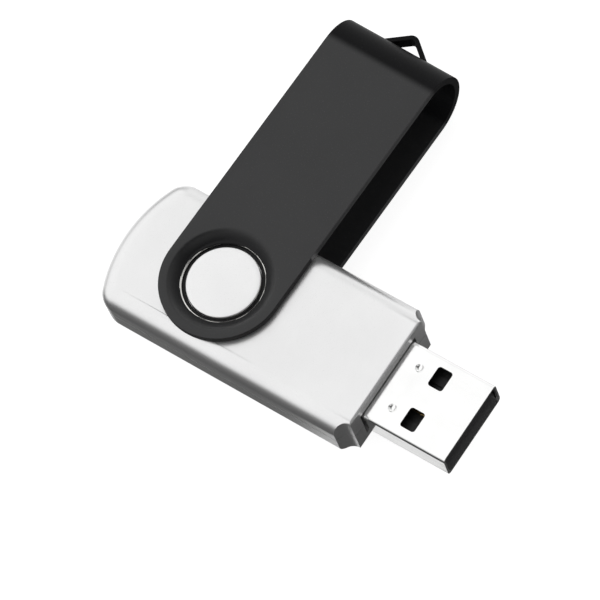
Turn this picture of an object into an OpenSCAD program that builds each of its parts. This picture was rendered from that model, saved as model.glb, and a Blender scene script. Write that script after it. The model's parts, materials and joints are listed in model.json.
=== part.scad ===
// USB flash drive with a swivel clip. Millimetres, +Z up.
// The origin is the middle of the housing's front face, on the plug's axis, and +X points out of the plug.
// The housing is two moulded shells parted at z = 0. The clip turns on the hub, with its axis along Z.

/* [Housing] */
// Width of the housing
body_width = 19.8; // [18:0.1:24]
// Thickness of the housing, without the clip
body_thickness = 8; // [7.6:0.1:11]
// Distance from the hub's axis to the front face
hub_to_front = 25.35; // [24:0.05:32]
// Distance from the hub's axis to the rear end
hub_to_rear = 16; // [13:0.1:20]
// Radius of the curved rear end, seen from above
rear_radius = 20; // [16:0.5:40]
// Radius of the two rear corners, seen from above
rear_corner = 3; // [2.6:0.1:4]
// Radius of the rounding round the top face
edge_round = 2.5; // [1.5:0.1:2.5]
// Radius of the rounding round the bottom face
bottom_round = 1.8; // [1.5:0.1:2.5]
// Radius of the scallop cut into each front corner
scallop = 1.8; // [1:0.1:2.2]
// Wall thickness of the sides and ends
wall = 1.2; // [1:0.05:1.4]
// Thickness of the roof and the floor
roof = 1; // [0.8:0.05:1.2]
// Height of the groove along the parting line
seam = 0.14; // [0.06:0.01:0.3]
// Depth of the groove along the parting line
seam_depth = 0.35; // [0.2:0.05:0.6]
// Height of the locating lip inside the parting line
lip_height = 0.8; // [0.5:0.1:1.2]

/* [Hub] */
// Radius of the hub
hub_radius = 4.95; // [4:0.05:5.4]
// Radial running clearance between the hub and the clip
hub_clearance = 0.08; // [0.02:0.01:0.1]
// How far the hub stands above the housing's face
hub_rise = 0.18; // [0.05:0.01:0.6]
// Chamfer round the hub's face
hub_chamfer = 0.15; // [0.05:0.01:0.3]
// Clearance between the clip's dish and the recess in the housing
recess_clearance = 0.2; // [0.1:0.05:0.3]

/* [Clip] */
// Thickness of the clip's steel sheet
sheet = 1; // [0.8:0.05:1.2]
// Flat rim of each plate outside the dish
plate_rim = 1.025; // [0.6:0.025:2]
// Clearance between the plug's corner and the inside of the clip's bend
tip_clearance = 1.03; // [0.6:0.01:4]
// Gap between the clip's plates and the housing
clip_gap = 0.2; // [0.1:0.05:0.4]
// Angle of the clip from the plug's direction, as stored
clip_angle = 88.6; // [0:0.1:359]
// Width of the sloping ring of the dish pressed into each plate
dish_width = 1.6; // [1.2:0.1:2]
// Depth of the dish
dish_depth = 1.06; // [0.8:0.01:1.1]
// Width of the bare edge round the clip's hole
ring_width = 0.25; // [0.15:0.01:0.3]
// Width of the step inside the bare edge
step_width = 0.42; // [0.3:0.02:0.6]
// Depth of the step inside the bare edge
step_depth = 0.5; // [0.3:0.05:0.6]
// How far the key-ring loop stands out from the bend
loop_reach = 2.3; // [2:0.1:5]
// Width of the key-ring loop where it leaves the bend
loop_width = 6; // [5:0.1:10]
// Height of the key-ring loop's strip
loop_height = 2; // [1.5:0.1:2.6]
// Thickness of the loop's strip
loop_sheet = 0.7; // [0.6:0.05:0.8]

/* [Plug] */
// Width of the plug's shell
plug_width = 12; // [11.9:0.05:12.1]
// Height of the plug's shell
plug_height = 4.5; // [4.4:0.05:4.6]
// Thickness of the plug's steel
plug_sheet = 0.3; // [0.25:0.01:0.35]
// Corner radius of the plug's shell
plug_corner = 0.6; // [0.4:0.05:0.8]
// Length of the plug that stands out of the housing
plug_out = 12.45; // [11.75:0.05:13]
// Length of the plug's shell inside the housing
plug_in = 6.3; // [5:0.1:7]
// Gap round the plug where it leaves the housing
plug_gap = 0.3; // [0.1:0.05:0.5]
// Length of each latch window, along the plug
window_length = 2.2; // [1.8:0.1:2.4]
// Width of each latch window
window_width = 2.9; // [2:0.1:3]
// Distance from the plug's mouth to the middle of the latch windows
window_back = 6.55; // [6:0.05:7]
// Distance from the plug's middle to the middle of each latch window
window_side = 3.2; // [2.8:0.05:3.5]
// Radius of each dimple that locks the insulator
dimple_radius = 0.58; // [0.4:0.02:0.64]
// Depth of each dimple
dimple_depth = 0.28; // [0.2:0.01:0.35]
// Distance from the plug's mouth to the dimples
dimple_back = 9.7; // [9.65:0.05:10.2]
// Distance that the tongue stays back from the mouth
tongue_back = 0.5; // [0.2:0.05:1]
// Width of the tongue
tongue_width = 11.1; // [10.6:0.1:11.2]
// Thickness of each contact
contact_sheet = 0.2; // [0.15:0.01:0.25]
// Width of each contact
contact_width = 1; // [0.8:0.05:1.2]

/* [Board] */
// Thickness of the circuit board
board_thickness = 0.8; // [0.6:0.1:1]
// Width of the circuit board
board_width = 15.6; // [14.5:0.1:17]
// Gap between the board's end and the rear wall
board_gap = 1.6; // [0.6:0.1:4]
// Radius of the four locating pins
pin_radius = 0.8; // [0.6:0.05:0.9]
// Radial clearance between each pin and its socket
pin_clearance = 0.05; // [0.02:0.01:0.1]
// Wall round each pin and socket
post_wall = 0.7; // [0.5:0.05:0.8]

/* [Hidden] */
$fn = 96;
eps = 0.01;
far = 100;

silver = "#c9ccce";
black_paint = "#2e2f31";
steel = "#d7d9db";
board_green = "#1f6b3a";
chip_black = "#1d1d1f";
tin = "#b9bbbd";
gold = "#d8b04a";

half_width = body_width / 2;
half_body = body_thickness / 2;
half_clip = half_body + clip_gap + sheet;
bore_radius = hub_radius + hub_clearance;
ring_radius = bore_radius + step_width + ring_width;
dish_radius = ring_radius + dish_width;
half_plate = dish_radius + plate_rim;
clip_reach = norm([hub_to_front + plug_out, plug_width / 2]) + tip_clearance + sheet;
bend_centre = clip_reach - half_clip;

// the housing's outline: arcs whose centres hold for every inset
rear_centre = rear_radius - hub_to_rear;
corner_y = half_width - rear_corner;
corner_x = rear_centre - sqrt(pow(rear_radius - rear_corner, 2) - pow(corner_y, 2));
rear_turn = asin(corner_y / (rear_radius - rear_corner));
rear_steps = 12;
corner_steps = 8;
round_steps = 7;
scallop_y = half_width + 0.1;

// heights of the clip's dish and of the recess that it turns in
dish_top = half_clip - dish_depth;
dish_under = dish_top - sheet;
recess_floor = dish_under - recess_clearance;
recess_flat = ring_radius + 0.6;
recess_radius = dish_radius + 0.4;
hub_skin = 0.9;
hub_floor = recess_floor - hub_skin;
hub_backing = recess_radius + hub_skin;
hub_core = hub_radius - wall;
hub_core_top = recess_floor - 0.3;
hub_top = half_body + hub_rise;
dish_steps = 8;
dish_overlap = 0.3;

// the plug, from the housing's front face
half_plug_w = plug_width / 2;
half_plug_h = plug_height / 2;
inner_plug_w = half_plug_w - plug_sheet;
inner_plug_h = half_plug_h - plug_sheet;
window_corner = 0.4;
slit = 0.06;
slit_depth = plug_sheet / 2;
leg_length = 2.4;
leg_low = -1.7;
leg_high = 0.9;
tongue_top = 0;
dimple_side = 3.13;
dimple_ball = (pow(dimple_radius, 2) + pow(dimple_depth, 2)) / (2 * dimple_depth);
dimple_clearance = 0.02;
base_gap = 0.3;
base_front = plug_out - 8.9;
cover_front = plug_out - window_back + window_length / 2 + 0.35;
cover_sheet = 0.1;
tongue_chamfer = 0.25;
contact_inner = 1;
contact_outer = 3.5;
tail_length = 2.6;
power_back = 0.9;
data_back = 1.9;

// the board, its top face level with the tails' underside
board_front = -plug_in;
board_rear = -hub_to_front - hub_to_rear + wall + board_gap;
board_under = tongue_top - board_thickness;
board_corner = 0.8;
leg_slot = 0.1;
post_sink = 0.2;
pin_y = half_width - wall - pin_radius - post_wall + post_sink;
pin_xs = [board_rear + 4.2, board_front - 6.5];
pin_top = 1.6;
socket_depth = 1.9;
post_radius = pin_radius + post_wall;
board_hole = pin_radius + 0.15;

// the components on the board, from the hub's axis
front_x = hub_to_front + board_front;
component_gap = 0.05;
lead_sheet = 0.12;
lead_foot = 0.55;
controller_size = [7, 7, 1.4];
controller_at = [5, 0];
controller_pitch = 0.5;
flash_size = [18.4, 12, 1];
flash_at = [(pin_xs[0] + pin_xs[1]) / 2 + hub_to_front, 0];
flash_pitch = 0.5;
regulator_size = [2.9, 1.6, 1.1];
regulator_at = [front_x - 5.8, 3.3];
crystal_size = [5, 3.2, 0.8];
crystal_at = [front_x - 5.8, -2.6];
crystal_lid_height = 0.35;
bead_size = [1.6, 0.8, 0.8];
bead_at = [front_x - 3.6, 6.6];
capacitor_size = [1.6, 0.8, 0.8];
capacitors_at = [
    [controller_at[0] - 6.6, 5.4], [controller_at[0] - 6.6, 3.6], [controller_at[0] - 6.6, -3.6],
    [controller_at[0] - 6.6, -5.4], [controller_at[0], 6.2], [controller_at[0], -6.2]];
resistor_size = [1, 0.5, 0.35];
resistors_at = [
    [controller_at[0] - 9.2, 2.4], [controller_at[0] - 9.2, 0.8], [controller_at[0] - 9.2, -0.8],
    [controller_at[0] - 9.2, -2.4], [controller_at[0] + 3.2, 5.8]];
end_share = 0.2;

function arc(cx, cy, r, from, to, steps) =
    [for (i = [0:steps]) let (a = from + (to - from) * i / steps) [cx + r * cos(a), cy + r * sin(a)]];
function mirrored(points) = [for (i = [len(points) - 1:-1:0]) [points[i][0], -points[i][1]]];
function half_outline(inset, front_inset) = concat(
    [[hub_to_front - front_inset, half_width - inset]],
    arc(corner_x, corner_y, rear_corner - inset, 90, 180 - rear_turn, corner_steps),
    arc(rear_centre, 0, rear_radius - inset, 180 - rear_turn, 180, rear_steps / 2));
function outline(inset, front_inset) = let (half = half_outline(inset, front_inset))
    concat(half, mirrored([for (i = [0:len(half) - 2]) half[i]]));
function eased(t) = t * t * (3 - 2 * t);

module at_hub() {
    translate([-hub_to_front, 0, 0]) children();
}

module both_sides() {
    for (s = [0, 1]) mirror([0, s, 0]) children();
}

// ---- housing ----

module scallops(grow) {
    both_sides() translate([hub_to_front, scallop_y, 0])
        cylinder(r = scallop + grow, h = far, center = true);
}

// upright walls on the housing's outline, drawn in by inset
module plan_block(inset, low, high) {
    difference() {
        translate([0, 0, low]) linear_extrude(high - low) polygon(outline(inset, inset));
        scallops(inset);
    }
}

// upper half of the outside: rings of the outline, drawn in round the edge as they rise
module rounded_half(low, radius) {
    angles = [for (i = [0:round_steps]) 90 * i / round_steps];
    levels = concat([[low, 0]],
        [for (a = angles) [half_body - radius * (1 - sin(a)), radius * (1 - cos(a))]]);
    count = len(outline(0, 0));
    points = [for (level = levels) for (p = outline(level[1], 0)) [p[0], p[1], level[0]]];
    last = len(levels) - 1;
    sides = [for (i = [0:last - 1]) for (k = [0:count - 1])
        let (n = (k + 1) % count, a = i * count + k, b = i * count + n) each
            [[a, a + count, b + count], [a, b + count, b]]];
    difference() {
        polyhedron(points, concat(
            [[for (k = [0:count - 1]) k]], sides, [[for (k = [count - 1:-1:0]) last * count + k]]));
        scallops(0);
    }
}

// the hollow inside one half, stepped so that the wall follows the rounding
module hollow() {
    shoulder = half_body - roof - 0.8;
    difference() {
        union() {
            plan_block(wall, -eps, shoulder);
            plan_block(wall + 0.8, 0, half_body - roof);
        }
        // the ring of wall behind the hub's recess
        translate([0, 0, hub_floor]) cylinder(r = hub_backing, h = far);
    }
}

module hub_recess() {
    rotate_extrude() polygon([
        [hub_radius, recess_floor], [recess_flat, recess_floor],
        [recess_radius, half_body], [recess_radius, far], [hub_radius, far]]);
}

module hub() {
    translate([0, 0, recess_floor - eps])
        cylinder(r = hub_radius, h = hub_top - hub_chamfer - recess_floor + eps);
    translate([0, 0, hub_top - hub_chamfer])
        cylinder(r1 = hub_radius, r2 = hub_radius - hub_chamfer, h = hub_chamfer);
}

module plug_opening() {
    translate([hub_to_front - wall - 1, -half_plug_w - plug_gap, -half_plug_h - plug_gap])
        cube([wall + 2, plug_width + 2 * plug_gap, plug_height + 2 * plug_gap]);
}

// ribs that hold the plug's shell, over it and at both sides
module plug_ribs() {
    rib = 1.2;
    translate([hub_to_front - plug_in + 1.4, 0, 0]) {
        translate([0, -half_plug_w + 1, half_plug_h])
            cube([rib, plug_width - 2, half_body - roof - half_plug_h + eps]);
        both_sides() translate([0, half_plug_w, 0])
            cube([rib, half_width - wall - half_plug_w + eps, half_body - roof]);
    }
}

module at_pins() {
    for (x = pin_xs) both_sides() translate([x + hub_to_front, pin_y, 0]) children();
}

// one moulded half without its parting details, open downwards
module half_shell(radius) {
    difference() {
        union() {
            rounded_half(seam / 2, radius);
            plan_block(seam_depth, 0, seam);
        }
        hollow();
        hub_recess();
        plug_opening();
    }
    hub();
    plug_ribs();
}

module lip_ring(outer_inset, low, high) {
    intersection() {
        difference() {
            plan_block(outer_inset, low, high);
            translate([0, 0, low - 1]) linear_extrude(high - low + 2) polygon(outline(wall, wall));
        }
        translate([-far, -far, low - 1])
            cube([far + hub_to_front - scallop - 2 * wall, 2 * far, high - low + 2]);
    }
}

module housing_top() {
    color(silver) at_hub() difference() {
        union() {
            half_shell(edge_round);
            lip_ring(wall / 2, -lip_height, eps);
            at_pins() cylinder(r = post_radius, h = half_body - roof + eps);
        }
        at_pins() translate([0, 0, -eps]) cylinder(r = pin_radius + pin_clearance, h = socket_depth + eps);
        translate([0, 0, -eps]) cylinder(r = hub_core, h = hub_core_top + eps);
    }
}

module housing_bottom() {
    color(silver) at_hub() difference() {
        union() {
            mirror([0, 0, 1]) half_shell(bottom_round);
            at_pins() translate([0, 0, -half_body + roof - eps])
                cylinder(r = post_radius, h = half_body - roof + board_under + eps);
            at_pins() translate([0, 0, board_under - eps])
                cylinder(r = pin_radius, h = pin_top - board_under + eps);
        }
        lip_ring(wall / 2, -lip_height, 1);
        mirror([0, 0, 1]) translate([0, 0, -eps]) cylinder(r = hub_core, h = hub_core_top + eps);
    }
}

// ---- clip, modelled along +X and turned to its angle at the end ----

module clip_plan() {
    circle(half_plate);
    translate([0, -half_plate]) square([clip_reach + 1, 2 * half_plate]);
}

// side view of a plate, the bend and the other plate, filled in
module bend_section(half_height) {
    translate([-far, -half_height]) square([far + bend_centre, 2 * half_height]);
    translate([bend_centre, 0]) circle(half_height);
}

module dish() {
    flat = [for (i = [dish_steps:-1:0]) ring_radius + (dish_radius - ring_radius) * i / dish_steps];
    function height(r) =
        half_clip - dish_depth * (1 - eased((r - ring_radius) / (dish_radius - ring_radius)));
    outside = concat([[dish_radius + dish_overlap, half_clip]], [for (r = flat) [r, height(r)]]);
    inside = [for (i = [len(outside) - 1:-1:0]) outside[i] - [0, sheet]];
    rotate_extrude() polygon(concat(outside, [
        [ring_radius - ring_width, dish_top], [ring_radius - ring_width, dish_top - step_depth],
        [bore_radius, dish_top - step_depth], [bore_radius, dish_under]], inside));
}

// two legs that lean together from the bend and meet at a rounded peak
module loop_strip() {
    peak = clip_reach + loop_reach - loop_sheet / 2;
    lean = atan2(loop_width / 2, peak - clip_reach);
    length = (peak - clip_reach + sheet) / cos(lean);
    translate([0, 0, -loop_height / 2]) linear_extrude(loop_height) {
        translate([peak, 0]) circle(loop_sheet / 2);
        both_ways() translate([peak, 0]) rotate(180 - lean)
            translate([0, -loop_sheet / 2]) square([length, loop_sheet]);
    }
}

module both_ways() {
    for (s = [0, 1]) mirror([0, s]) children();
}

module swivel_clip() {
    color(black_paint) at_hub() rotate(clip_angle) {
        difference() {
            intersection() {
                rotate([90, 0, 0]) linear_extrude(2 * half_plate, center = true) difference() {
                    bend_section(half_clip);
                    bend_section(half_clip - sheet);
                }
                linear_extrude(3 * half_clip, center = true) clip_plan();
            }
            cylinder(r = dish_radius, h = far, center = true);
            translate([bend_centre, -loop_width / 2 + loop_sheet, -loop_height / 2])
                cube([2 * half_clip, loop_width - 2 * loop_sheet, loop_height]);
        }
        dish();
        mirror([0, 0, 1]) dish();
        loop_strip();
    }
}

// ---- plug ----

module rounded_rectangle(w, h, r) {
    polygon([for (q = [0:3]) each arc(
        (q == 0 || q == 3 ? 1 : -1) * (w / 2 - r), (q < 2 ? 1 : -1) * (h / 2 - r),
        r, 90 * q, 90 * (q + 1), round_steps)]);
}

module along_plug(from, to) {
    translate([from, 0, 0]) rotate([90, 0, 90]) linear_extrude(to - from) children();
}

module at_dimples() {
    both_sides() translate([plug_out - dimple_back, dimple_side, half_plug_h + dimple_ball - dimple_depth])
        children();
}

module plug_inside() {
    rounded_rectangle(2 * inner_plug_w, 2 * inner_plug_h, plug_corner - plug_sheet);
}

module plug_shell() {
    color(steel) difference() {
        union() {
            along_plug(-plug_in, plug_out) difference() {
                rounded_rectangle(plug_width, plug_height, plug_corner);
                plug_inside();
            }
            both_sides() translate([-plug_in - leg_length, inner_plug_w, leg_low])
                cube([leg_length + eps, plug_sheet, leg_high - leg_low]);
            intersection() {
                at_dimples() sphere(dimple_ball + plug_sheet);
                along_plug(0, plug_out)
                    square([plug_width - 2 * plug_corner, plug_height - plug_sheet], center = true);
            }
        }
        at_dimples() sphere(dimple_ball);
        both_sides() translate([plug_out - window_back, window_side, 0]) linear_extrude(far, center = true)
            rounded_rectangle(window_length, window_width, window_corner);
        // the butt seam, a fine groove along the underside
        translate([-far, -slit / 2, -half_plug_h - slit_depth]) cube([2 * far, slit, 2 * slit_depth]);
    }
}

module plug_insulator() {
    tip = plug_out - tongue_back;
    color(chip_black) difference() {
        union() {
            along_plug(-plug_in + base_gap, base_front) plug_inside();
            intersection() {
                along_plug(0, plug_out) plug_inside();
                translate([0, 0, -inner_plug_h]) rotate([90, 0, 0])
                    linear_extrude(tongue_width, center = true)
                    polygon([[0, 0], [tip, 0], [tip, inner_plug_h + tongue_top - tongue_chamfer],
                        [tip - tongue_chamfer, inner_plug_h + tongue_top], [0, inner_plug_h + tongue_top]]);
            }
            // bridges that cover the outer contacts under the latch windows
            for (y = [-contact_outer, contact_outer])
                translate([0, y - contact_width / 2 - cover_sheet, tongue_top - eps])
                    cube([cover_front, contact_width + 2 * cover_sheet, contact_sheet + cover_sheet + eps]);
        }
        at_dimples() sphere(dimple_ball + plug_sheet + dimple_clearance);
        for (y = [-contact_outer, -contact_inner, contact_inner, contact_outer])
            contact_strip(y, power_back);
    }
}

module contact_strip(y, back) {
    low = -plug_in - tail_length;
    translate([low, y - contact_width / 2, tongue_top])
        cube([plug_out - tongue_back - back - low, contact_width, contact_sheet]);
}

module contact_vbus() {
    color(gold) contact_strip(-contact_outer, power_back);
}

module contact_data_minus() {
    color(gold) contact_strip(-contact_inner, data_back);
}

module contact_data_plus() {
    color(gold) contact_strip(contact_inner, data_back);
}

module contact_ground() {
    color(gold) contact_strip(contact_outer, power_back);
}

// ---- board ----

module circuit_board() {
    length = board_front - board_rear;
    color(board_green) translate([0, 0, board_under]) linear_extrude(board_thickness) difference() {
        translate([board_rear + length / 2, 0]) rounded_rectangle(length, board_width, board_corner);
        both_ways() {
            translate([board_front - leg_length - leg_slot, inner_plug_w - leg_slot])
                square([far, plug_sheet + 2 * leg_slot]);
            for (x = pin_xs) translate([x, pin_y]) circle(board_hole);
        }
    }
}

module block_on(at, size, z) {
    translate([at[0] - size[0] / 2, at[1] - size[1] / 2, z]) cube(size);
}

// a gull-wing lead that leaves the body's side at x = 0 and stands on z = 0
module lead(reach, rise, width) {
    rotate([90, 0, 0]) linear_extrude(width, center = true) polygon([
        [0, rise], [reach - lead_foot, rise], [reach - lead_foot, 0], [reach, 0],
        [reach, lead_sheet], [reach - lead_foot + lead_sheet, lead_sheet],
        [reach - lead_foot + lead_sheet, rise + lead_sheet], [0, rise + lead_sheet]]);
}

module lead_row(at, half_body_size, count, pitch, reach, rise, width, turn) {
    translate([at[0], at[1], 0]) rotate(turn) for (i = [0:count - 1])
        translate([half_body_size, (i - (count - 1) / 2) * pitch, 0]) lead(reach, rise, width);
}

module controller_chip() {
    color(chip_black) at_hub() block_on(controller_at, controller_size, component_gap);
}

module controller_leads() {
    color(tin) at_hub() for (turn = [0:90:270])
        lead_row(controller_at, controller_size[0] / 2, 12, controller_pitch, 1, 0.65, 0.22, turn);
}

module flash_chip() {
    color(chip_black) at_hub() mirror([0, 0, 1])
        block_on(flash_at, flash_size, -board_under + component_gap);
}

module flash_leads() {
    color(tin) at_hub() mirror([0, 0, 1]) translate([0, 0, -board_under]) for (turn = [0, 180])
        lead_row(flash_at, flash_size[0] / 2, 24, flash_pitch, 0.8, 0.45, 0.2, turn);
}

module regulator_chip() {
    color(chip_black) at_hub() block_on(regulator_at, regulator_size, component_gap);
}

module regulator_leads() {
    color(tin) at_hub() {
        lead_row(regulator_at, regulator_size[1] / 2, 3, 0.95, 0.6, 0.5, 0.4, 90);
        lead_row(regulator_at, regulator_size[1] / 2, 2, 1.9, 0.6, 0.5, 0.4, -90);
    }
}

module crystal_base() {
    color("#8a7f6a") at_hub() block_on(crystal_at, crystal_size, 0);
}

module crystal_lid() {
    color(steel) at_hub() translate([crystal_at[0], crystal_at[1], crystal_size[2]])
        linear_extrude(crystal_lid_height)
            rounded_rectangle(crystal_size[0] - 0.5, crystal_size[1] - 0.5, 0.4);
}

// the part of a chip component between its two tinned ends
module chip_middle(at, size) {
    block_on(at, [size[0] * (1 - 2 * end_share), size[1], size[2]], 0);
}

module chip_ends(at, size) {
    for (s = [-1, 1])
        block_on([at[0] + s * size[0] * (1 - end_share) / 2, at[1]],
            [size[0] * end_share, size[1], size[2]], 0);
}

module ferrite_bead() {
    color("#4a4a4c") at_hub() chip_middle(bead_at, bead_size);
}

module capacitors() {
    color("#a88a5c") at_hub() for (at = capacitors_at) chip_middle(at, capacitor_size);
}

module resistors() {
    color("#262a2e") at_hub() for (at = resistors_at) chip_middle(at, resistor_size);
}

module component_ends() {
    color(tin) at_hub() {
        for (at = capacitors_at) chip_ends(at, capacitor_size);
        for (at = resistors_at) chip_ends(at, resistor_size);
        chip_ends(bead_at, bead_size);
    }
}

// a fillet of solder with its foot along y, running along x
module solder_fillet(length, width, height) {
    rotate([90, 0, 90]) linear_extrude(length) polygon([[0, 0], [width, 0], [0, height]]);
}

module solder_joints() {
    color(tin) {
        for (y = [-contact_outer, -contact_inner, contact_inner, contact_outer]) for (s = [0, 1])
            translate([board_front - tail_length, y, 0]) mirror([0, s, 0])
                translate([0, contact_width / 2, 0]) solder_fillet(tail_length - 0.6, 0.35, contact_sheet);
        both_sides() translate([board_front - leg_length, half_plug_w, 0])
            solder_fillet(leg_length - 0.3, 0.5, 0.5);
    }
}

housing_top();
housing_bottom();
swivel_clip();
plug_shell();
plug_insulator();
contact_vbus();
contact_data_minus();
contact_data_plus();
contact_ground();
circuit_board();
controller_chip();
controller_leads();
flash_chip();
flash_leads();
regulator_chip();
regulator_leads();
crystal_base();
crystal_lid();
ferrite_bead();
capacitors();
resistors();
component_ends();
solder_joints();
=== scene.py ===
import json
import math

import bmesh
import bpy
from mathutils import Matrix, Vector

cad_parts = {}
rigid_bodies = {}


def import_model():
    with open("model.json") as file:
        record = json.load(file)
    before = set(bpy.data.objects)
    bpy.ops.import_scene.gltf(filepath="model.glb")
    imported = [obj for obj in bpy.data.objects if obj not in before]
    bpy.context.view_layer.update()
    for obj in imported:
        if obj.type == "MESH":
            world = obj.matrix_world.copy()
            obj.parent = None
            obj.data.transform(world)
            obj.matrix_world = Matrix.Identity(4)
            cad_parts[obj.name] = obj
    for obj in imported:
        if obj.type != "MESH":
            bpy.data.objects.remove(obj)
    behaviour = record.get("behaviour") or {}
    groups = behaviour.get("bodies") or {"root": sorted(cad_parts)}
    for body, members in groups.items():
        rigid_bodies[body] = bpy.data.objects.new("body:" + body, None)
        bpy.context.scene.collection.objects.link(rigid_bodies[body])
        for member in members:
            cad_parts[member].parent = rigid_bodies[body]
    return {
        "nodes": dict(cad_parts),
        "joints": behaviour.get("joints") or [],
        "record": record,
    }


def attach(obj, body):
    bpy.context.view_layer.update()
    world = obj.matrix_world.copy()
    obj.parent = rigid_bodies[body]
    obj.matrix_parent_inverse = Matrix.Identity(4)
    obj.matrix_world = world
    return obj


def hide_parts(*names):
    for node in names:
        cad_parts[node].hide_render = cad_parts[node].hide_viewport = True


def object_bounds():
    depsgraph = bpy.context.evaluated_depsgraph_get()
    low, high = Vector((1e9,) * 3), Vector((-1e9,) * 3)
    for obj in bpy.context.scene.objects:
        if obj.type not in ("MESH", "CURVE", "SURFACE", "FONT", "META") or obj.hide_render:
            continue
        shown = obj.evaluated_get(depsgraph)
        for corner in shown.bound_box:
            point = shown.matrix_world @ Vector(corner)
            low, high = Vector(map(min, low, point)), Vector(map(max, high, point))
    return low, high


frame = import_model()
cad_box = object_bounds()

MM = 0.001
NODES = frame["nodes"]
HUB = Vector(frame["joints"][0]["pos_m"])
CLIP_ANGLE = math.radians(88.6)
CLIP_TURN = Matrix.Translation(HUB) @ Matrix.Rotation(CLIP_ANGLE, 4, "Z")
scene = bpy.context.scene


# ---- camera: where the photograph was taken from ----

def add_camera():
    data = bpy.data.cameras.new("camera")
    data.sensor_width = 36
    data.lens = 293.365
    data.clip_end = 10
    camera = bpy.data.objects.new("camera", data)
    scene.collection.objects.link(camera)
    turn = Vector((2.65482932, 0.758567513, -0.420584569))
    shift = Vector((-9.06477955, -0.609794736, 629.412661)) * MM
    rotation = Matrix.Rotation(turn.length, 3, turn)
    flip = Matrix(((1, 0, 0), (0, -1, 0), (0, 0, -1)))
    place = rotation.transposed() @ -shift + HUB
    camera.matrix_world = Matrix.Translation(place) @ (rotation.transposed() @ flip).to_4x4()
    scene.camera = camera


add_camera()


# ---- materials ----

class Shader:
    """A short way to write a node tree: node() adds one, and an input that is a socket is linked."""

    def __init__(self, name):
        self.material = bpy.data.materials.new(name)
        self.material.use_nodes = True
        self.tree = self.material.node_tree
        self.bsdf = self.tree.nodes["Principled BSDF"]

    def node(self, kind, inputs=None, **settings):
        n = self.tree.nodes.new(kind)
        for key, value in settings.items():
            setattr(n, key, value)
        for key, value in (inputs or {}).items():
            self.put(n.inputs[key], value)
        return n

    def put(self, socket, value):
        if hasattr(value, "is_linked"):
            self.tree.links.new(value, socket)
        else:
            socket.default_value = value

    def set(self, **values):
        for key, value in values.items():
            name = key.replace("_", " ")
            self.put(self.bsdf.inputs[name], value)
        return self

    def place(self, stretch=(1, 1, 1)):
        where = self.node("ShaderNodeTexCoord").outputs["Object"]
        return self.node("ShaderNodeMapping", {"Vector": where, "Scale": stretch}).outputs["Vector"]

    def noise(self, scale, detail=3, rough=0.55, where=None):
        return self.node("ShaderNodeTexNoise", {
            "Vector": where or self.place(), "Scale": scale, "Detail": detail, "Roughness": rough},
        ).outputs["Fac"]

    def ramp(self, value, low, high, start=0.0, end=1.0):
        return self.node("ShaderNodeMapRange", {
            "Value": value, "From Min": low, "From Max": high, "To Min": start, "To Max": end},
        ).outputs["Result"]

    def smooth(self, value, low, high):
        return self.node("ShaderNodeMapRange", {"Value": value, "From Min": low, "From Max": high},
                         interpolation_type="SMOOTHSTEP").outputs["Result"]

    def math(self, operation, one, other):
        return self.node("ShaderNodeMath", {0: one, 1: other}, operation=operation).outputs["Value"]

    def blend(self, factor, one, other):
        n = self.node("ShaderNodeMix", data_type="RGBA")
        self.put(n.inputs["Factor"], factor)
        self.put(n.inputs[6], (*one, 1) if isinstance(one, tuple) else one)
        self.put(n.inputs[7], (*other, 1) if isinstance(other, tuple) else other)
        return n.outputs[2]

    def bump(self, height, distance, strength=1.0):
        n = self.node("ShaderNodeBump", {"Height": height, "Distance": distance, "Strength": strength})
        self.put(self.bsdf.inputs["Normal"], n.outputs["Normal"])


def silver_paint():
    s = Shader("silver_paint")
    flake = s.noise(9000, 2, 0.7)
    cloud = s.noise(90, 3)
    tone = s.blend(s.ramp(cloud, 0.3, 0.7), (0.80, 0.80, 0.80), (0.855, 0.855, 0.855))
    colour = s.blend(s.ramp(flake, 0.56, 0.78, 0, 0.4), tone, (0.60, 0.60, 0.605))
    s.set(Base_Color=colour, Metallic=0.9, Roughness=s.ramp(flake, 0.3, 0.7, 0.27, 0.34))
    s.bump(flake, 0.000004, 0.5)
    return s.material


def black_paint():
    s = Shader("black_paint")
    speck = s.noise(5200, 2, 0.75)
    cloud = s.noise(140, 3)
    tone = s.blend(s.ramp(cloud, 0.3, 0.7), (0.011, 0.0112, 0.012), (0.0145, 0.0147, 0.0155))
    colour = s.blend(s.ramp(speck, 0.60, 0.74, 0, 0.7), tone, (0.05, 0.05, 0.053))
    # painted shade: the base colour is darkened over the bend and in the dish round the hub, and the coat's
    # specular is lowered there too
    along = Vector((math.cos(CLIP_ANGLE), math.sin(CLIP_ANGLE), 0))
    where = s.node("ShaderNodeTexCoord").outputs["Object"]
    reach = s.node("ShaderNodeVectorMath", {0: where, 1: tuple(along)},
                   operation="DOT_PRODUCT").outputs["Value"]
    start = HUB.dot(along)
    bend = s.smooth(reach, start + 35.0 * MM, start + 36.2 * MM)
    apart = s.node("ShaderNodeVectorMath", {0: where, 1: tuple(HUB)}, operation="SUBTRACT").outputs["Vector"]
    flat = s.node("ShaderNodeVectorMath", {0: apart, 1: (1, 1, 0)}, operation="MULTIPLY").outputs["Vector"]
    radius = s.node("ShaderNodeVectorMath", {0: flat}, operation="LENGTH").outputs["Value"]
    dish_painted_shade = s.math("MULTIPLY", s.math("SUBTRACT", 1.0, s.smooth(radius, 5.9 * MM, 7.4 * MM)), 0.75)
    painted_shade_and_dull = s.math("MAXIMUM", bend, dish_painted_shade)
    # painted shade: the base colour is blended darker by this mask, and the specular level is lowered by the
    # same mask
    s.set(Base_Color=s.blend(s.math("MULTIPLY", painted_shade_and_dull, 0.6), colour, (0.006, 0.006, 0.0065)),
          Roughness=s.ramp(speck, 0.3, 0.7, 0.34, 0.44),
          Specular_IOR_Level=s.ramp(painted_shade_and_dull, 0, 1, 0.5, 0.05))
    s.bump(speck, 0.000012, 0.6)
    return s.material


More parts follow.
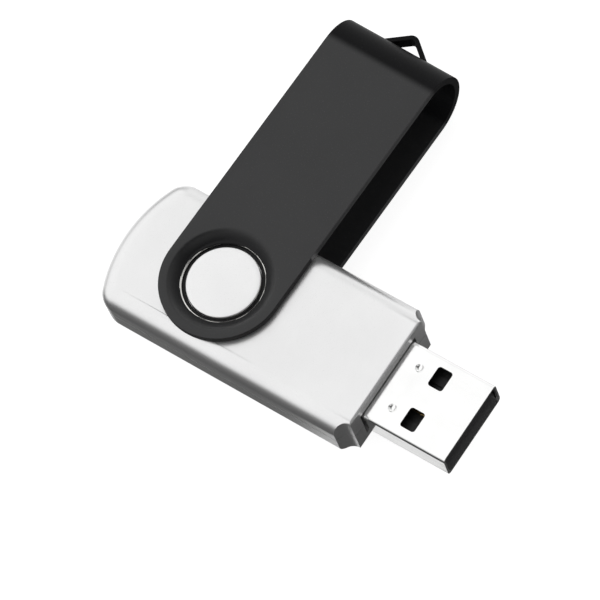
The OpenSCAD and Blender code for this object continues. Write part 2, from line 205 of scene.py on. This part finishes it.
def bright_metal(name, colour, rough, scale=700, stretch=(1, 1, 1)):
    s = Shader(name)
    grain = s.noise(scale, 3, 0.6, s.place(stretch))
    cloud = s.noise(220, 3)
    low = tuple(c * 0.94 for c in colour)
    s.set(Base_Color=s.blend(s.ramp(cloud, 0.3, 0.7), low, colour), Metallic=1.0,
          Roughness=s.ramp(grain, 0.3, 0.7, rough * 0.8, rough * 1.25))
    s.bump(grain, 0.000003, 0.4)
    return s.material


def moulded(name, colour, rough, scale=2500, mottle=0.25):
    s = Shader(name)
    grain = s.noise(scale, 3)
    cloud = s.noise(400, 3)
    low = tuple(c * (1 - mottle) for c in colour)
    s.set(Base_Color=s.blend(s.ramp(cloud, 0.3, 0.7), low, colour),
          Roughness=s.ramp(grain, 0.3, 0.7, rough * 0.85, rough * 1.15))
    s.bump(grain, 0.000008, 0.5)
    return s.material


def solder_mask():
    s = Shader("board_green")
    weave = s.node("ShaderNodeTexWave", {"Vector": s.place(), "Scale": 900, "Distortion": 1.5}).outputs["Fac"]
    cloud = s.noise(300, 3)
    tone = s.blend(s.ramp(cloud, 0.35, 0.65), (0.012, 0.10, 0.035), (0.02, 0.16, 0.06))
    s.set(Base_Color=s.blend(s.ramp(weave, 0.2, 0.8, 0, 0.25), tone, (0.03, 0.22, 0.08)),
          Roughness=s.ramp(cloud, 0.3, 0.7, 0.22, 0.34))
    s.bump(weave, 0.000006, 0.3)
    return s.material


MATERIALS = {
    "silver_paint": silver_paint(),
    "black_paint": black_paint(),
    "bare_edge": bright_metal("bare_edge", (0.86, 0.85, 0.82), 0.22, 3000),
    # painted shade: a coat blacker than the paint, and matte, for the clip's round-end edge face, standing in
    # for the shade beside it
    "matte_painted_shade_edge": moulded("matte_painted_shade_edge", (0.005, 0.005, 0.0055), 0.8),
    "nickel_steel": bright_metal("nickel_steel", (0.95, 0.95, 0.945), 0.15, 900, (0.2, 1, 1)),
    "black_plastic": moulded("black_plastic", (0.012, 0.012, 0.013), 0.5),
    "gold_plating": bright_metal("gold_plating", (0.83, 0.60, 0.25), 0.2),
    "board_green": solder_mask(),
    "chip_epoxy": moulded("chip_epoxy", (0.016, 0.016, 0.018), 0.6),
    "tin_plating": bright_metal("tin_plating", (0.66, 0.67, 0.68), 0.3),
    "crystal_ceramic": moulded("crystal_ceramic", (0.25, 0.21, 0.15), 0.6),
    "ferrite": moulded("ferrite", (0.07, 0.07, 0.075), 0.55),
    "capacitor_ceramic": moulded("capacitor_ceramic", (0.42, 0.28, 0.13), 0.5),
    "resistor_film": moulded("resistor_film", (0.02, 0.024, 0.03), 0.4),
    "solder": bright_metal("solder", (0.6, 0.61, 0.62), 0.25, 500),
}


# ---- mesh helpers; every shape below is in millimetres about the hub's axis ----

def finish_mesh(name, verts, faces, slots, body, nodes=(), matrix=None, sharp=32, bevel=0.0, segments=3,
                ids=None):
    mesh = bpy.data.meshes.new(name)
    mesh.from_pydata([tuple(Vector(v) * MM) for v in verts], [], faces)
    for slot in slots:
        mesh.materials.append(MATERIALS[slot])
    if ids:
        mesh.polygons.foreach_set("material_index", ids)
    bm = bmesh.new()
    bm.from_mesh(mesh)
    bmesh.ops.remove_doubles(bm, verts=bm.verts, dist=1e-7)
    bmesh.ops.dissolve_degenerate(bm, dist=1e-7, edges=bm.edges)
    bmesh.ops.recalc_face_normals(bm, faces=bm.faces)
    bm.to_mesh(mesh)
    bm.free()
    obj = bpy.data.objects.new(name, mesh)
    scene.collection.objects.link(obj)
    mesh.transform(matrix or Matrix.Translation(HUB))
    return dress(obj, body, nodes, sharp, bevel, segments)


def dress(obj, body, nodes, sharp, bevel, segments):
    for p in obj.data.polygons:
        p.use_smooth = True
    obj.data.set_sharp_from_angle(angle=math.radians(sharp))
    if bevel:
        m = obj.modifiers.new("edges", "BEVEL")
        m.width = bevel * MM
        m.segments = segments
        m.limit_method = "ANGLE"
        m.angle_limit = math.radians(sharp)
        m.harden_normals = True
        m.use_clamp_overlap = True
    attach(obj, body)
    if nodes:
        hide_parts(*nodes)
    return obj


def cut_box(obj, low, high, matrix=None):
    """Takes a box out of obj; low and high are in millimetres about the hub's axis."""
    size = Vector(high) - Vector(low)
    middle = (Vector(high) + Vector(low)) / 2
    bm = bmesh.new()
    bmesh.ops.create_cube(bm, size=1)
    bmesh.ops.scale(bm, vec=size * MM, verts=bm.verts)
    bmesh.ops.translate(bm, vec=middle * MM, verts=bm.verts)
    cut_with(obj, bm, matrix)


def cut_with(obj, bm, matrix=None):
    tool_mesh = bpy.data.meshes.new("cutter")
    bm.to_mesh(tool_mesh)
    bm.free()
    tool_mesh.transform(matrix or Matrix.Translation(HUB))
    tool = bpy.data.objects.new("cutter", tool_mesh)
    scene.collection.objects.link(tool)
    m = obj.modifiers.new("cut", "BOOLEAN")
    m.operation = "DIFFERENCE"
    m.solver = "EXACT"
    m.object = tool
    graph = bpy.context.evaluated_depsgraph_get()
    obj.modifiers.move(len(obj.modifiers) - 1, 0)
    others = [x for x in obj.modifiers if x.name != "cut"]
    for x in others:
        x.show_viewport = False
    graph.update()
    cut = bpy.data.meshes.new_from_object(obj.evaluated_get(graph))
    for x in others:
        x.show_viewport = True
    obj.modifiers.remove(m)
    old = obj.data
    obj.data = cut
    cut.name = old.name
    bpy.data.meshes.remove(old)
    bpy.data.objects.remove(tool)
    for p in cut.polygons:
        p.use_smooth = True
    cut.set_sharp_from_angle(angle=math.radians(32))


def arc(cx, cy, r, start, end, steps):
    return [(cx + r * math.cos(start + (end - start) * i / steps),
             cy + r * math.sin(start + (end - start) * i / steps)) for i in range(steps + 1)]


# ---- housing ----

FRONT, HALF_WIDTH, HALF_BODY = 25.35, 9.9, 4.0
REAR_RADIUS, REAR_CENTRE, REAR_CORNER = 20.0, 4.0, 3.0
TOP_ROUND, BOTTOM_ROUND, SCALLOP, SCALLOP_Y = 2.5, 1.8, 1.8, 10.0
FRONT_ROUND = 0.45
HUB_RADIUS, HUB_TOP, HUB_ROUND, RECESS_FLOOR = 4.95, 4.18, 0.15, 2.94
SEAM_HALF, SEAM_DEPTH, WALL = 0.07, 0.35, 1.2
CORNER_Y = HALF_WIDTH - REAR_CORNER
CORNER_X = REAR_CENTRE - math.sqrt((REAR_RADIUS - REAR_CORNER) ** 2 - CORNER_Y ** 2)
REAR_TURN = math.asin(CORNER_Y / (REAR_RADIUS - REAR_CORNER))


def plan_ring(inset, front_inset=0.0):
    """The housing's outline drawn in by inset, with its scalloped front corners, as one loop of points."""
    side_y = HALF_WIDTH - inset
    front_x = FRONT - front_inset
    r = SCALLOP + front_inset
    drop = (SCALLOP_Y - side_y) / r
    if drop < 1:
        half = arc(FRONT, SCALLOP_Y, r, math.radians(270) - (math.asin(front_inset / r)),
                   math.radians(180) + math.asin(drop), 12)
        if front_inset:
            half[0] = (front_x, half[0][1])
    else:
        half = [(front_x, side_y)] * 13
    start_x = half[-1][0]
    for t in (0.15, 0.4, 0.7):
        half.append((start_x + (CORNER_X - start_x) * t, side_y))
    half += arc(CORNER_X, CORNER_Y, REAR_CORNER - inset, math.radians(90), math.pi - REAR_TURN, 18)
    half += arc(REAR_CENTRE, 0, REAR_RADIUS - inset, math.pi - REAR_TURN, math.pi, 14)[1:]
    return half + [(x, -y) for x, y in reversed(half[:-1])]


def circle_ring(r, count=128):
    return [(r * math.cos(math.tau * i / count), r * math.sin(math.tau * i / count)) for i in range(count)]


class Skin:
    """Collects rings of points and the faces between them."""

    def __init__(self):
        self.verts, self.faces, self.ids = [], [], []

    def ring(self, plan, z):
        start = len(self.verts)
        self.verts += [(x, y, z) for x, y in plan]
        return list(range(start, len(self.verts)))

    def between(self, a, b, slot=0):
        n = len(a)
        for i in range(n):
            j = (i + 1) % n
            self.faces.append((a[i], a[j], b[j], b[i]))
            self.ids.append(slot)

    def tube(self, rings):
        last = None
        for plan, z in rings:
            now = self.ring(plan, z)
            if last:
                self.between(last, now)
            else:
                first = now
            last = now
        return first, last

    def fill(self, loops):
        """A flat face between an outline and the loops inside it."""
        bm = bmesh.new()
        made = {}
        edges = []
        for loop in loops:
            loop = [i for k, i in enumerate(loop) if math.dist(self.verts[i], self.verts[loop[k - 1]]) > 1e-5]
            vs = [bm.verts.new(self.verts[i]) for i in loop]
            for v, i in zip(vs, loop):
                made[v] = i
            edges += [bm.edges.new((vs[i], vs[(i + 1) % len(vs)])) for i in range(len(vs))]
        bmesh.ops.triangle_fill(bm, use_beauty=True, use_dissolve=False, edges=edges)
        for f in bm.faces:
            self.faces.append(tuple(made[v] for v in f.verts))
            self.ids.append(0)
        bm.free()


def housing_half(name, node, side):
    rounding = TOP_ROUND if side > 0 else BOTTOM_ROUND
    meet = math.acos(1 - (SCALLOP - (SCALLOP_Y - HALF_WIDTH)) / rounding)
    turns = [meet * i / 16 for i in range(17)] + [meet + (math.pi / 2 - meet) * i / 6 for i in range(1, 7)]
    skin = Skin()
    outside = [(plan_ring(WALL, WALL), 0.0), (plan_ring(SEAM_DEPTH, SEAM_DEPTH), 0.0),
               (plan_ring(SEAM_DEPTH, SEAM_DEPTH), SEAM_HALF), (plan_ring(0), SEAM_HALF)]
    for a in turns:
        drop = rounding * (1 - math.sin(a))
        eased = 1 - min(drop / FRONT_ROUND, 1)
        front_inset = FRONT_ROUND * (1 - math.sqrt(1 - eased ** 2))
        outside.append((plan_ring(rounding * (1 - math.cos(a)), front_inset), HALF_BODY - drop))
    low, top = skin.tube(outside)
    hub = [(7.7, HALF_BODY), (6.3, RECESS_FLOOR), (HUB_RADIUS, RECESS_FLOOR)]
    hub += arc(HUB_RADIUS - HUB_ROUND, HUB_TOP - HUB_ROUND, HUB_ROUND, 0, math.pi / 2, 3)
    hub += [(4.2, 4.192), (3.0, 4.205), (1.5, 4.212)]
    rim, crown = skin.tube([(circle_ring(r), z) for r, z in hub])
    skin.fill([top, rim])
    skin.fill([crown])
    inner = skin.ring(plan_ring(WALL, WALL), 2.2)
    skin.between(low, inner)
    upper = skin.ring(plan_ring(2.0, WALL), 3.0)
    skin.between(inner, upper)
    backing, floor = skin.tube([(circle_ring(8.6, 96), 3.0), (circle_ring(8.6, 96), 2.04)])
    skin.fill([upper, backing])
    skin.fill([floor])
    verts = [(x, y, z * side) for x, y, z in skin.verts]
    obj = finish_mesh(name, verts, skin.faces, ["silver_paint"], "housing", [node], bevel=0.09)
    cut_box(obj, (23.9, -6.3, -2.55), (26, 6.3, 2.55))
    # keeps the flat faces flat where they run into the roundings
    m = obj.modifiers.new("normals", "WEIGHTED_NORMAL")
    m.keep_sharp = True
    return obj


housing_half("housing_upper_shell", "housing_top", 1)
housing_half("housing_lower_shell", "housing_bottom", -1)


# ---- clip, built along +X and turned to its place ----

SHEET, HALF_CLIP, PLATE = 1.0, 5.2, 8.325
BEND_CENTRE, REACH = 35.1, 40.3
AROUND, LIP_STEPS, BEND_STEPS = 128, 8, 40
DISH_OUT, DISH_IN, DISH_DEPTH = 7.3, 5.7, 1.06
LIP, STEP_IN, STEP_Z, BORE, UNDER_Z = 0.25, 5.43, 3.66, 5.03, 3.14
DISH_Z = HALF_CLIP - DISH_DEPTH


def clip():
    verts, faces, ids = [], [], []

    def add(points):
        start = len(verts)
        verts.extend(points)
        return list(range(start, len(verts)))

    def plate_ring(r, z):
        return add([(r * math.cos(math.tau * i / AROUND), r * math.sin(math.tau * i / AROUND), z)
                    for i in range(AROUND)])

    def plate_edge(z):
        points = []
        for i in range(AROUND):
            a = math.tau * i / AROUND
            c, s = math.cos(a), math.sin(a)
            k = PLATE if c < 0 else PLATE / max(abs(c), abs(s))
            points.append((k * c, k * s, z))
        return add(points)

    def join(a, b, slot=0, closed=True):
        n = len(a)
        for i in range(n if closed else n - 1):
            j = (i + 1) % n
            faces.append((a[i], a[j], b[j], b[i]))
            ids.append(slot)

    def eased(t):
        return t * t * (3 - 2 * t)

    def bare_width(azimuth):
        """How far the bare metal reaches down the ring's edge, wider towards one side and narrower towards
        another.
        """
        turn = azimuth + CLIP_ANGLE
        wide = max(0, math.cos(turn - math.radians(205))) ** 2
        thin = max(0, math.cos(turn - math.radians(125))) ** 4
        return 0.74 + 0.26 * wide - 0.55 * thin + 0.05 * math.sin(9 * turn)

    steps = 12
    slope = [(DISH_OUT + (DISH_IN - DISH_OUT) * i / steps, 1 - eased(1 - i / steps))
             for i in range(steps + 1)]
    ends = {}
    for side in (1, -1):
        outer = [plate_edge(HALF_CLIP * side)]
        outer += [plate_ring(r, (HALF_CLIP - DISH_DEPTH * drop) * side) for r, drop in slope]
        for a, b in zip(outer, outer[1:]):
            join(a, b)
        lip = outer[-1]
        for step in range(LIP_STEPS):
            a = math.pi / 2 * (step + 1) / LIP_STEPS
            last = lip
            lip = plate_ring(DISH_IN - LIP * math.sin(a), (DISH_Z - LIP * (1 - math.cos(a))) * side)
            join(last, lip)
            for i in range(AROUND):
                if step >= LIP_STEPS * (1 - bare_width(math.tau * (i + 0.5) / AROUND)):
                    ids[i - AROUND] = 1
        step = plate_ring(STEP_IN, STEP_Z * side)
        join(lip, step)
        mouth = plate_ring(BORE, (STEP_Z - 0.02) * side)
        join(step, mouth)
        under = plate_ring(BORE, UNDER_Z * side)
        join(mouth, under)
        inner = [plate_edge((HALF_CLIP - SHEET) * side)]
        inner += [plate_ring(r, (HALF_CLIP - SHEET - DISH_DEPTH * drop) * side) for r, drop in slope]
        for a, b in zip(inner, inner[1:]):
            join(a, b)
        join(inner[-1], under)
        eighth = AROUND // 8
        across = [i % AROUND for i in range(-eighth, eighth + 1)]
        round_way = list(range(eighth, AROUND - eighth + 1))
        # the round end's edge face takes slot 2, the blacker matte coat that is painted shade
        join([outer[0][i] for i in round_way], [inner[0][i] for i in round_way], 2, closed=False)
        ends[side] = ([outer[0][i] for i in across], [inner[0][i] for i in across])
    widths = [verts[i][1] for i in ends[1][0]]
    rows = [(x, math.pi / 2) for x in (15, 22, 29)]
    rows += [(BEND_CENTRE, math.pi / 2 - math.pi * i / BEND_STEPS) for i in range(BEND_STEPS + 1)]
    rows += [(x, -math.pi / 2) for x in (29, 22, 15)]
    last_out, last_in = ends[1]
    for x, a in rows:
        out = add([(x + HALF_CLIP * math.cos(a), y, HALF_CLIP * math.sin(a)) for y in widths])
        into = add([(x + (HALF_CLIP - SHEET) * math.cos(a), y, (HALF_CLIP - SHEET) * math.sin(a))
                    for y in widths])
        join(last_out, out, closed=False)
        join(last_in, into, closed=False)
        for k in (0, -1):
            faces.append((last_out[k], out[k], into[k], last_in[k]))
            ids.append(0)
        last_out, last_in = out, into
    out, into = ends[-1]
    join(last_out, out, closed=False)
    join(last_in, into, closed=False)
    for k in (0, -1):
        faces.append((last_out[k], out[k], into[k], last_in[k]))
        ids.append(0)
    obj = finish_mesh("swivel_clip_sheet", verts, faces,
                      ["black_paint", "bare_edge", "matte_painted_shade_edge"], "clip", ["swivel_clip"],
                      matrix=CLIP_TURN, bevel=0.34, segments=4, ids=ids)
    cut_box(obj, (BEND_CENTRE, -2.3, -1.0), (REACH + 2, 2.3, 1.0), CLIP_TURN)
    return obj


clip()


def keyring_loop():
    """The lanced strip: one bent bar with a rounded peak, its feet sunk in the bend."""
    sheet, peak, half_foot, foot = 0.7, REACH + 2.3, 3.0, REACH - 0.7
    lean = math.atan2(half_foot, 2.3)
    bend_r = 1.15
    outer, inner = [], []
    centre = peak - bend_r
    steps = 8
    for i in range(-steps, steps + 1):
        a = (math.pi / 2 - lean) * i / steps
        outer.append((centre + bend_r * math.cos(a), bend_r * math.sin(a)))
        inner.append((centre + (bend_r - sheet) * math.cos(a), (bend_r - sheet) * math.sin(a)))
    legs = []
    for loop in (outer, inner):
        x, y = loop[-1]
        run = (x - foot) / math.cos(lean)
        end = (foot, y + run * math.sin(lean))
        legs.append([(end[0], -end[1])] + loop + [end])
    points = legs[0] + legs[1][::-1]
    verts, faces = [], []
    n = len(points)
    for z in (-1.0, 1.0):
        verts += [(x, y, z) for x, y in points]
    half = n // 2
    for i in range(half - 1):
        j = n - 1 - i
        faces.append((i, i + 1, j - 1, j))
        faces.append((n + i, n + i + 1, n + j - 1, n + j))
    for i in range(n):
        j = (i + 1) % n
        faces.append((i, j, n + j, n + i))
    return finish_mesh("keyring_loop_strip", verts, faces, ["black_paint"], "clip",
                       matrix=CLIP_TURN, bevel=0.14)


keyring_loop()


# ---- carried-over nodes: edges softened, materials by the record's slots ----

def soften(node, width, segments=2):
    obj = NODES[node]
    weld = obj.modifiers.new("weld", "WELD")
    weld.merge_threshold = 1e-6
    m = obj.modifiers.new("edges", "BEVEL")
    m.width = width * MM
    m.segments = segments
    m.limit_method = "ANGLE"
    m.angle_limit = math.radians(40)
    m.harden_normals = True


slots = {s["node"]: s["material_slot"] for s in frame["record"]["subparts"]}
for name, obj in NODES.items():
    obj.data.materials.clear()
    obj.data.materials.append(MATERIALS[slots[name]])
for name, width in (("plug_shell", 0.03), ("plug_insulator", 0.06), ("contact_vbus", 0.04),
                    ("contact_data_minus", 0.04), ("contact_data_plus", 0.04), ("contact_ground", 0.04)):
    soften(name, width)


# ---- floor and light ----

def floor():
    bm = bmesh.new()
    bmesh.ops.create_circle(bm, cap_ends=True, segments=96, radius=0.9)
    mesh = bpy.data.meshes.new("floor")
    bm.to_mesh(mesh)
    bm.free()
    obj = bpy.data.objects.new("floor", mesh)
    scene.collection.objects.link(obj)
    obj.location = (0, 0, cad_box[0][2] - 0.00002)
    s = Shader("floor_white")
    s.set(Base_Color=(0.4, 0.4, 0.4, 1), Roughness=0.7, Emission_Color=(1, 1, 1, 1), Emission_Strength=0.85)
    mesh.materials.append(s.material)
    obj.visible_glossy = False
    obj.visible_diffuse = False
    obj.visible_shadow = False
    return obj


floor()


def studio(base, panels):
    """Soft light from all round: a base level and panels, each (direction, edge, core, strength)."""
    world = bpy.data.worlds.new("world")
    scene.world = world
    world.use_nodes = True
    tree = world.node_tree
    look = tree.nodes.new("ShaderNodeTexCoord").outputs["Generated"]
    total = None
    for direction, edge, core, strength in panels:
        dot = tree.nodes.new("ShaderNodeVectorMath")
        dot.operation = "DOT_PRODUCT"
        tree.links.new(look, dot.inputs[0])
        dot.inputs[1].default_value = Vector(direction).normalized()
        fade = tree.nodes.new("ShaderNodeMapRange")
        fade.interpolation_type = "SMOOTHSTEP"
        tree.links.new(dot.outputs["Value"], fade.inputs["Value"])
        fade.inputs["From Min"].default_value = edge
        fade.inputs["From Max"].default_value = core
        fade.inputs["To Max"].default_value = strength
        add = tree.nodes.new("ShaderNodeMath")
        tree.links.new(fade.outputs["Result"], add.inputs[0])
        if total:
            tree.links.new(total, add.inputs[1])
        else:
            add.inputs[1].default_value = base
        total = add.outputs["Value"]
    background = tree.nodes["Background"]
    background.inputs["Color"].default_value = (1, 1, 1, 1)
    tree.links.new(total, background.inputs["Strength"])


studio(0.055, [
    ((-0.70, -0.20, 0.69), 0.40, 0.72, 1.03),
    ((-0.38, 0.915, 0.08), 0.74, 0.95, 0.60),
    ((-0.40, 0.70, -0.60), 0.85, 0.99, 0.40),
    ((-0.70, 0.27, -0.66), 0.80, 0.96, 0.95),
    ((0.35, 0.90, 0.25), 0.50, 0.90, 0.70),
    ((0.20, -0.95, 0.25), 0.85, 0.97, 0.70),
    ((0.85, -0.45, 0.25), 0.80, 0.95, 0.70),
])


def panel(name, place, size, radiance):
    """A small bright card under the floor, facing up; place and size are in millimetres."""
    data = bpy.data.lights.new(name, "AREA")
    data.shape = "RECTANGLE"
    data.size, data.size_y = size[0] * MM, size[1] * MM
    data.energy = radiance * math.pi * size[0] * size[1] * MM * MM
    obj = bpy.data.objects.new(name, data)
    scene.collection.objects.link(obj)
    obj.location = Vector(place) * MM
    obj.rotation_euler = (math.pi, 0, 0)
    return obj


panel("card_plug", (-33, -33, -100), (22, 32), 0.75)
panel("card_front", (37, 60, -100), (45, 42), 0.35)
scene.view_settings.view_transform = "Standard"
